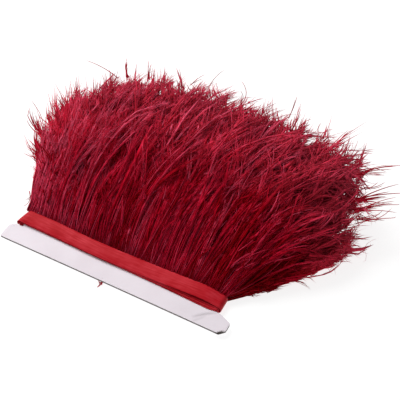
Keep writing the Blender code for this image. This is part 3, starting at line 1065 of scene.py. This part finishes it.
def flue_curves(chance):
    """Curves of all the flues in order along the roll, and each one's level, length and tuft."""
    share = spread_roots(chance, FLUES)
    length, level = size_flues(chance, share)
    tufts = chance.random((TUFTS, 2))
    number = nearest_tuft(tufts, share, level)
    tuft = tufts[number]
    own = np.linspace(0, 1, STEM_POINTS)[None, :]
    along = own * length[:, None]
    pull = TUFT_PULL * along ** 1.6
    stray = chance.normal(0, STRAY_SHARE, FLUES)[:, None] * along ** 1.5
    curve_share = mix(share[:, None], tuft[:, :1], pull) + stray + top_run(share, level, along)
    curve_share = np.clip(curve_share, -EDGE_ROOM, 1 + EDGE_ROOM)
    curve_level = mix(level[:, None], tuft[:, 1:], LEVEL_PULL * pull)
    curve_level += chance.normal(0, STRAY_LEVEL, FLUES)[:, None] * along
    points = fringe_point(curve_share, np.clip(curve_level, 0.0, TOP_ROOM), along)
    add_wave(points, chance, along, **FLUE_WAVE)
    add_wave(points, chance, along, **TUFT_WAVE, groups=number)
    sweep_right(points, share, along)
    curl_ends(points, chance, share, own, number)
    points[..., 2] += chance.normal(0, TUFT_HEAVE, TUFTS)[number][:, None] * along
    swing = (chance.normal(0, ROOT_SWING, FLUES) * between(-0.02, 0.06, share))[:, None]
    points[..., 0] += swing * 4 * along * np.clip(1 - along, 0, 1) ** 2
    return points, level, length, number


flues, flue_level, flue_length, flue_tuft = flue_curves(np.random.default_rng(TUFT_SEED))
print("flues:", len(flues), "mean level:", round(float(flue_level.mean()), 2))


# %% [markdown]
# ## Matted down
#
# Deep in the pile the down is pressed into a mat, and no light comes through from the table.
# The mat is made of broad, dull strands that fill the fan from the tape nearly out to the rim, a
# little below its surface. They are dyed dark as painted shade for the depth of the pile, so that
# the gaps between the flues look dark red and not white.

# %% Mat
FLOOR_CLEAR = 0.05 * MM
MATS = 900
MAT_POINTS = 10
MAT_SEED = 5
# The mat's highest strands, by share of the pile's height, and how much they rise near the rim
MAT_LEVEL = 0.84
MAT_RISE = 0.15
MAT_REACH = (0.86, 1.03)
MAT_ROOT = 0.55 * MM
MAT_RADIUS = 2.1 * MM
MAT_FLAT = 0.5
# The mat's tones are kept dark: painted shade for the depth of the pile
MAT_SHADE_TONES = (0.0, 0.3)


def stay_in(paths, radii):
    """Keeps strands above the table and inside the space that cloth may take round the frame's box."""
    low, high = np.array(cad_box[0]), np.array(cad_box[1])
    spare = 0.03 * (high - low) + 10 * MM
    kept = np.clip(paths, low - spare + radii.max(), high + spare - radii.max())
    kept[..., 2] = np.maximum(kept[..., 2], radii + FLOOR_CLEAR)
    return kept


def loose_set(chance, paths, radii, tone, along, flat):
    """A set of strands that face anywhere and stay in the fringe's space."""
    count = len(paths)
    return strand_set(stay_in(paths, radii), radii, np.clip(tone, 0, 1), along, np.zeros(count),
                      flat, unit_vectors(chance, count))


def ride_on_roll(piece):
    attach(piece, "root")
    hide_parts("feathers")
    print(piece.name, "triangles:", len(piece.data.polygons))


def make_mat(chance):
    share = spread_roots(chance, MATS)
    level = chance.random(MATS) ** 0.7 * MAT_LEVEL
    length = chance.uniform(*MAT_REACH, MATS) * by_share(LENGTHS, "length", share)
    own = np.linspace(0, 1, MAT_POINTS)[None, :]
    along = own * length[:, None]
    risen = level[:, None] * (1 + MAT_RISE * between(0.55, 0.9, along))
    points = fringe_point(share[:, None] + top_run(share, level, along), risen, along)
    add_wave(points, chance, along, **MAT_WAVE)
    sweep_right(points, share, along)
    radii = mix(MAT_ROOT, MAT_RADIUS, between(0.02, 0.4, own)) * mix(1, 0.6, between(0.8, 1.0, own))
    radii = radii * chance.uniform(0.7, 1.2, (MATS, 1))
    return loose_set(chance, points, radii, chance.uniform(*MAT_SHADE_TONES, MATS), along, MAT_FLAT)


matted_down = strand_object("matted_down", [make_mat(np.random.default_rng(MAT_SEED))], down)
ride_on_roll(matted_down)


# %% [markdown]
# ## Barbs
#
# Each flue gets a flattened core of pressed barbs, the quill on top of it, and single barbs. The
# clinging ones lie in the blade's plane and make its streaks and soft edges. The wild ones stand
# off in any direction, and a brush of them ends the flue in a few fine points.

# %% Barbs
BUNDLES = 6
TONE_SEED = 21
# How strongly the blades face up, and how far they twist from root to tip
FACE_UP = 0.5
TWIST = 1.6
# How much single flues and barbs differ in tone
FLUE_TONE = 0.15
BARB_TONE = 0.1
BARB_FLAT = 0.7
# Painted light and shade: how much paler the down is at the left-hand end, and darker at the
# right-hand one, and the parts of the roll where that fades
PAINTED_LIGHT_LEFT = 0.28
PAINTED_LIGHT_PART = (0.0, 0.4)
PAINTED_SHADE_RIGHT = 0.42
PAINTED_SHADE_PART = (0.75, 1.0)
# Half widths in mm: of a pressed core at its root and at its widest, and of a quill at both ends
CORE_ROOT = 0.38
CORE_WIDEST = (0.5, 1.4)
CORE_FLAT = 0.4
QUILL = (0.34, 0.20)
QUILL_SHIFT = 1.8 * MM
QUILL_PALER = 0.15
# The higher, the fewer quills are bare
QUILL_DRESSED = 9
# Barbs grow up to this place along a flue. The power is below 1, so more grow near its end.
BARB_LAST = 0.98
BARB_POWER = 0.75
# How long the barbs at a flue's end are, and how far those at its root stand off, by share
END_LENGTH = 0.65
ROOT_CLING = 0.35

# each: how many barbs grow on a flue low and high in the pile. start: least place along the flue.
# reach, aside and radius are in mm. tilt: how far out of the blade's plane, in radians. bend: how
# much they curve, by share of aside. closing: how fast they draw in beyond the flue's end.
BARBS = [
    {"kind": "clinging", "each": (9, 27), "start": 0.03, "points": 3, "reach": (8, 18),
     "aside": (0.6, 3.4), "tilt": 0.6, "bend": 0.4, "closing": 18.0, "radius": (0.30, 0.11)},
    {"kind": "wild", "each": (4, 15), "start": 0.20, "points": 4, "reach": (6, 16),
     "aside": (2.0, 7.5), "tilt": 1.6, "bend": 0.8, "closing": 4.0, "radius": (0.20, 0.09)},
    {"kind": "brush", "each": (2, 6), "start": 0.90, "points": 4, "reach": (8, 19),
     "aside": (0.5, 5.0), "tilt": 1.6, "bend": 1.2, "closing": 0.0, "radius": (0.24, 0.09)},
]


def on_stem(values, owner, where):
    """Values along the stems at where (0 root, 1 tip), read between the stem's points."""
    spot = np.clip(where, 0, 1) * (values.shape[1] - 1)
    index = np.minimum(spot.astype(int), values.shape[1] - 2)
    share = (spot - index)[..., None]
    return mix(values[owner, index], values[owner, index + 1], share)


def blade_facing(chance, count):
    """Which way each blade faces along its length, with a slow twist."""
    start = unit_vectors(chance, count) + np.array([0.0, 0.0, FACE_UP])
    twist = TWIST * unit_vectors(chance, count)
    return start + twist * np.linspace(0, 1, STEM_POINTS)[None, :, None]


def barb_paths(chance, curve, facing, owner, fluff, row):
    """Paths of barbs of one kind, one for each entry of owner, the stem that it grows on."""
    count = len(owner)
    ways, side, over = frames_along(curve, facing)
    stem_size = np.linalg.norm(np.diff(curve, axis=1), axis=2).sum(1)[owner]
    base = mix(row["start"], BARB_LAST, chance.random(count) ** BARB_POWER)
    size = MM * chance.uniform(*row["reach"], count)
    size *= mix(1.0, END_LENGTH, between(0.6, 1.0, base))
    aside = MM * chance.uniform(*row["aside"], count) * fluff[owner]
    aside *= mix(ROOT_CLING, 1.0, between(0.02, 0.45, base))
    step = np.linspace(0, 1, row["points"])[None, :]
    where = base[:, None] + step * (size / stem_size)[:, None]
    owners = np.broadcast_to(owner[:, None], where.shape)
    paths = on_stem(curve, owners, where)
    beyond = np.maximum(where - 1, 0) * stem_size[:, None]
    paths += beyond[..., None] * ways[owners, -1]
    turn = chance.normal(0, row["tilt"], count) + np.pi * chance.integers(0, 2, count)
    turn = turn[:, None, None]
    out = np.cos(turn) * on_stem(side, owners, where) + np.sin(turn) * on_stem(over, owners, where)
    closing = np.clip(1 - row["closing"] * np.maximum(where - 1, 0), 0.25, 1)
    rise = (1.4 * step - 0.4 * step ** 2) * closing
    paths += (aside[:, None] * rise)[..., None] * out
    paths += row["bend"] * (aside[:, None] * step ** 2)[..., None] * unit_vectors(chance, count)
    return paths, base


def taper(count, points, root, tip, power=1.5):
    """Radii that narrow from root to tip, from half widths in mm."""
    step = np.linspace(0, 1, points)[None, :]
    return np.broadcast_to(mix(root * MM, tip * MM, step ** power), (count, points))


def core_radii(chance, count, fluff):
    """Half widths of the pressed cores: narrow at the root, widest past the middle, then a point."""
    own = np.linspace(0, 1, STEM_POINTS)[None, :]
    widest = chance.uniform(*CORE_WIDEST, count)[:, None] * fluff[:, None]
    swell = between(0.0, 0.5, own) * (1 - between(0.78, 1.02, own))
    ragged = 1 + 0.25 * np.sin(chance.uniform(18, 32, (count, 1)) * own
                               + chance.uniform(0, 6, (count, 1)))
    return MM * (CORE_ROOT * (1 - 0.6 * own) + widest * swell * ragged)


def flue_tones(chance, chosen):
    """Tones of the chosen flues: their tuft's and their own, with painted light and shade by place."""
    tone = tuft_tone[flue_tuft[chosen]] + chance.normal(0, FLUE_TONE, len(chosen))
    place = chosen / FLUES
    tone += PAINTED_LIGHT_LEFT * (1 - between(*PAINTED_LIGHT_PART, place)) - PAINTED_SHADE_RIGHT * between(*PAINTED_SHADE_PART, place)
    return np.clip(tone, 0, 1)


def make_bundle(number, chosen, chance):
    """One bundle: the cores and quills of the chosen flues, and all their barbs."""
    level = flue_level[chosen]
    length = flue_length[chosen]
    count = len(chosen)
    tone = flue_tones(chance, chosen)
    fluff = chance.gamma(6.0, 1 / 6.0, count)
    facing = blade_facing(chance, count)
    along = np.linspace(0, 1, STEM_POINTS)[None, :] * length[:, None]
    radii = core_radii(chance, count, fluff)
    curve = stay_in(flues[chosen], radii)
    sets = [strand_set(curve, radii, tone, along, np.zeros(count), CORE_FLAT, facing)]
    raised = curve.copy()
    raised[..., 2] += 0.45 * radii
    raised[..., 0] += chance.normal(0, QUILL_SHIFT, count)[:, None] * (1 - along) ** 2
    sets.append(strand_set(
        raised, taper(count, STEM_POINTS, *QUILL), np.clip(tone + QUILL_PALER, 0, 1), along,
        chance.random(count) ** QUILL_DRESSED, 1.0, unit_vectors(chance, count)))
    for row in BARBS:
        each = np.round(mix(*row["each"], level)).astype(int)
        owner = np.repeat(np.arange(count), each)
        paths, base = barb_paths(chance, curve, facing, owner, fluff, row)
        step = np.linspace(0, 1, row["points"])[None, :]
        radii = taper(len(owner), row["points"], *row["radius"])
        barb_tone = tone[owner] + chance.normal(0, BARB_TONE, len(owner))
        barb_along = (base[:, None] + 0.1 * step) * length[owner][:, None]
        sets.append(loose_set(chance, paths, radii, barb_tone, barb_along, BARB_FLAT))
    bundle = strand_object(f"feather_bundle_{number + 1}", sets, down)
    ride_on_roll(bundle)
    return bundle


tuft_tone = np.random.default_rng(TONE_SEED).beta(3.5, 3.5, TUFTS)
for number, chosen in enumerate(np.array_split(np.arange(FLUES), BUNDLES)):
    make_bundle(number, chosen, np.random.default_rng(100 + number))


# %% [markdown]
# ## Fluff
#
# Where the pile ends, on top, at the back and at both sides, short tips stand up in small pointed
# tufts, and some lie ruffled on top of it. Each tuft is a few fine spikes round one thicker point,
# and points roughly the way that the flues run there. Without them the pile would end like a cut
# brush. The rim's tufts and those on top make a piece each.

# %% Fluff
RIM_SEED = 3
TOP_SEED = 4
SPIKE_POINTS = 5
# Each spike starts inside the pile, by this share of its length, and this far from its tuft's place
SPIKE_SUNK = 0.3
SPIKE_SCATTER = 1.2 * MM
SPIKE_TIP = 0.2
SPIKE_TONE = 0.12
SPIKE_FLAT = 0.6
LARGEST_TUFT = 1.5
# Where tufts grow: the least and most of each of the fan's three shares. out: what is added
# sideways and upwards to the way that the flues run there. wild: how far the tufts differ from it.
# curl: how far a whole tuft bends over, by share of its length. tone: 1 for the palest ones.
RIM_PLACES = [
    {"tufts": 150, "share": (0.0, 0.42), "level": (0.55, 1.0), "along": (0.86, 0.97),
     "out": (0.0, 0.5), "wild": 0.7, "size": 1.05, "curl": 0.3, "tone": 0.55},
    {"tufts": 240, "share": (0.42, 1.0), "level": (0.55, 1.0), "along": (0.86, 0.97),
     "out": (-0.2, 0.65), "wild": 0.8, "size": 0.9, "curl": 0.3, "tone": 0.55},
    {"tufts": 70, "share": (0.0, 1.0), "level": (0.0, 0.55), "along": (0.84, 0.95),
     "out": (0.0, 0.1), "wild": 0.5, "size": 1.0, "curl": 0.2, "tone": 0.5},
    {"tufts": 90, "share": (0.0, 0.04), "level": (0.4, 1.0), "along": (0.45, 0.90),
     "out": (-0.50, 0.35), "wild": 0.5, "size": 1.6, "curl": 0.4, "tone": 0.6},
    {"tufts": 60, "share": (0.985, 1.0), "level": (0.05, 0.45), "along": (0.15, 0.85),
     "out": (0.45, 0.05), "wild": 0.3, "size": 0.9, "curl": 0.3, "tone": 0.4},
    {"tufts": 70, "share": (0.97, 1.0), "level": (0.1, 1.0), "along": (0.4, 0.97),
     "out": (0.4, 0.1), "wild": 0.5, "size": 1.0, "curl": 0.2, "tone": 0.5},
]
TOP_PLACES = [
    {"tufts": 100, "share": (0.02, 0.98), "level": (0.92, 1.0), "along": (0.08, 0.34),
     "out": (0.0, 0.1), "wild": 0.3, "size": 1.3, "curl": 0.3, "tone": 1.0},
    {"tufts": 500, "share": (0.03, 0.97), "level": (0.93, 1.02), "along": (0.28, 0.78),
     "out": (0.0, 0.08), "wild": 0.45, "size": 1.6, "curl": 0.4, "tone": 1.0},
    {"tufts": 300, "share": (0.03, 0.97), "level": (0.93, 1.02), "along": (0.65, 0.87),
     "out": (-0.1, 0.3), "wild": 0.6, "size": 1.3, "curl": 0.5, "tone": 0.9},
]
# The points of a tuft. each: how many. length and radius are in mm. spread: how far they point
# apart, and bend: how much they curve, both by share of their length.
SPIKES = [
    {"each": 1, "length": (8, 15), "spread": 0.08, "bend": 0.05, "radius": 1.2},
    {"each": 6, "length": (5, 16), "spread": 0.24, "bend": 0.12, "radius": 0.50},
]


def tuft_ways(chance, base, beyond, row):
    """Which way each tuft points: on from base to beyond, with the place's own lean and disorder."""
    way = beyond - base
    way /= np.linalg.norm(way, axis=1, keepdims=True)
    way += row["wild"] * unit_vectors(chance, len(base))[:, 0]
    way += np.array([row["out"][0], 0.0, row["out"][1]])
    return way / np.linalg.norm(way, axis=1, keepdims=True)


def make_spikes(chance, tufts, kind):
    """Paths of one kind of spike for all tufts, and the number of the tuft that each belongs to."""
    owner = np.repeat(np.arange(len(tufts["base"])), kind["each"])
    count = len(owner)
    size = (MM * chance.uniform(*kind["length"], count) * tufts["big"][owner])[:, None, None]
    aim = tufts["way"][owner] + kind["spread"] * unit_vectors(chance, count)[:, 0]
    step = np.linspace(-SPIKE_SUNK, 1, SPIKE_POINTS)[None, :, None]
    start = (tufts["base"][owner] + SPIKE_SCATTER * chance.normal(size=(count, 3)))[:, None, :]
    bend = tufts["curl"][owner] + kind["bend"] * unit_vectors(chance, count)
    return start + size * (step * aim[:, None, :] + step ** 2 * bend), owner


def make_fluff(name, places, chance):
    sets = []
    for row in places:
        tufts = row["tufts"]
        share, level, along = (chance.uniform(*row[key], (tufts, 1))
                               for key in ("share", "level", "along"))
        along = along * by_share(LENGTHS, "length", share)
        base = fringe_point(share, level, along)[:, 0]
        beyond = fringe_point(share, level, along + 0.02)[:, 0]
        placed = {"base": base, "way": tuft_ways(chance, base, beyond, row),
                  "big": row["size"] * np.minimum(chance.gamma(5.0, 1 / 5.0, tufts), LARGEST_TUFT),
                  "curl": row["curl"] * unit_vectors(chance, tufts)}
        tone = row["tone"] * chance.beta(2.2, 2.4, tufts)
        for kind in SPIKES:
            paths, owner = make_spikes(chance, placed, kind)
            thick = kind["radius"] * row["size"] ** 0.7
            radii = taper(len(owner), SPIKE_POINTS, thick, SPIKE_TIP, 1.3)
            spike_tone = tone[owner] + chance.normal(0, SPIKE_TONE, len(owner))
            spike_along = np.broadcast_to(along[owner], radii.shape)
            sets.append(loose_set(chance, paths, radii, spike_tone, spike_along, SPIKE_FLAT))
    return strand_object(name, sets, down)


for name, places, seed in (("rim_fluff", RIM_PLACES, RIM_SEED), ("top_fluff", TOP_PLACES, TOP_SEED)):
    fluff = make_fluff(name, places, np.random.default_rng(seed))
    ride_on_roll(fluff)


# %% [markdown]
# ## Stray hairs
#
# A few long hairs stick out of the pile, and they are what the eye finds first on a white ground.
# Each is given one by one: where on top of the pile it grows, and how far its tip lies from there
# across and up the picture. Hairs that cling together are thicker. One small tuft has been caught
# under the card and peeps out in front.

# %% Strays
STRAY_POINTS = 9
STRAY_SEED = 8
STRAY_FROM = 0.98
STRAY_TIP = 0.2
STRAY_TONES = (0.0, 0.5)
STRAY_FLAT = 0.8
# The dye, the painted shade at the roots and the painted highlight at the tips take them all to be
# half way out from the tape
STRAY_ALONG = 0.5
# Half widths in mm, by how many hairs cling together
STRAY_WIDTHS = {"share": (1, 3, 9, 18), "width": (0.48, 0.52, 0.70, 0.95)}
# Where each grows: share and along. Then its tip from there, aside and up, and how far its middle
# bends, all in mm, and the number of hairs.
STRAYS = [
    (0.00, 0.60, -17, 44, -7, 1),
    (0.00, 0.48, -15, 3, 2, 2),
    (0.02, 0.60, -22, 32, 5, 24),
    (0.00, 0.52, -6, 22, 3, 20),
    (0.03, 0.68, -8, 22, 3, 16),
    (0.05, 0.76, -6, 20, -2, 12),
    (0.00, 0.15, -8, -13, 3, 3),
    (0.08, 0.86, 0, 21, -1, 5),
    (0.21, 0.96, -30, 17, -2, 1),
    (0.25, 0.95, 0, 20, 1, 8),
    (0.33, 0.95, 0, 17, 1, 5),
    (0.46, 0.97, 13, 10, 1, 2),
    (0.51, 0.94, 18, 20, 2, 2),
    (0.55, 0.65, -4, 25, -2, 1),
    (0.61, 0.93, 1, 21, -5, 2),
    (0.73, 0.97, 9, 20, -1, 2),
    (0.77, 0.94, 12, 7, 1, 2),
    (0.82, 0.95, 13, 6, 2, 1),
    (0.81, 0.97, 4, 8, 1, 1),
    (0.86, 0.97, 14, 14, 2, 3),
    (0.92, 0.89, 31, -3, 3, 3),
    (0.95, 0.98, 20, 6, -2, 3),
    (0.93, 0.91, 46, 9, 3, 8),
    (0.96, 0.90, 46, 8, 2, 12),
    (0.97, 0.90, 42, 5, 2, 9),
    (0.98, 0.90, 40, 1, 1, 4),
    (0.98, 0.92, 30, 10, -5, 3),
    (1.00, 0.76, 17, -3, 2, 2),
]
CAUGHT_PLACE = (-5 * MM, -25 * MM, 1.5 * MM)
CAUGHT_TUFT = (-4, -8, 1, 6)


def stray_paths(chance, base, aside, rise, bend, count):
    """Curved hairs from one place, square to the line of sight. The first is the longest."""
    size = math.hypot(aside, rise)
    onward = np.array(right) * aside + np.array(up) * rise
    across = (np.array(up) * aside - np.array(right) * rise) / size
    step = np.linspace(0, 1, STRAY_POINTS)[None, :, None]
    reach = np.append(1.0, chance.uniform(0.35, 0.9, count - 1))[:, None, None]
    jitter = np.append(0.0, chance.normal(0, 0.12 * size, count - 1))[:, None, None]
    bent = 4 * bend * step * (1 - step) + jitter * step
    start = base + MM * 1.3 * chance.normal(size=(count, 1, 3)) * (1 - step) ** 2
    return start + MM * reach * (step * onward + bent * across)


def make_strays(chance):
    places = [(fringe_point(*np.array([share, STRAY_FROM, along])[:, None, None])[0, 0], shift)
              for share, along, *shift in STRAYS]
    sets = []
    for base, (aside, rise, bend, count) in places + [(np.array(CAUGHT_PLACE), CAUGHT_TUFT)]:
        radii = taper(count, STRAY_POINTS, by_share(STRAY_WIDTHS, "width", count), STRAY_TIP, 1.2)
        paths = stray_paths(chance, base, aside, rise, bend, count)
        sets.append(loose_set(chance, paths, radii, chance.uniform(*STRAY_TONES, count),
                              np.full(radii.shape, STRAY_ALONG), STRAY_FLAT))
    return strand_object("stray_hairs", sets, down)


stray_hairs = make_strays(np.random.default_rng(STRAY_SEED))
ride_on_roll(stray_hairs)


# %% [markdown]
# ## The roll's size
#
# The last lines print the box of the frame and the box of the finished model, to compare them.

boxes = {"cad": cad_box, "visual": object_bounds()}
for key, box in boxes.items():
    print(key, "box in mm:", [[round(value / MM, 1) for value in corner] for corner in box])
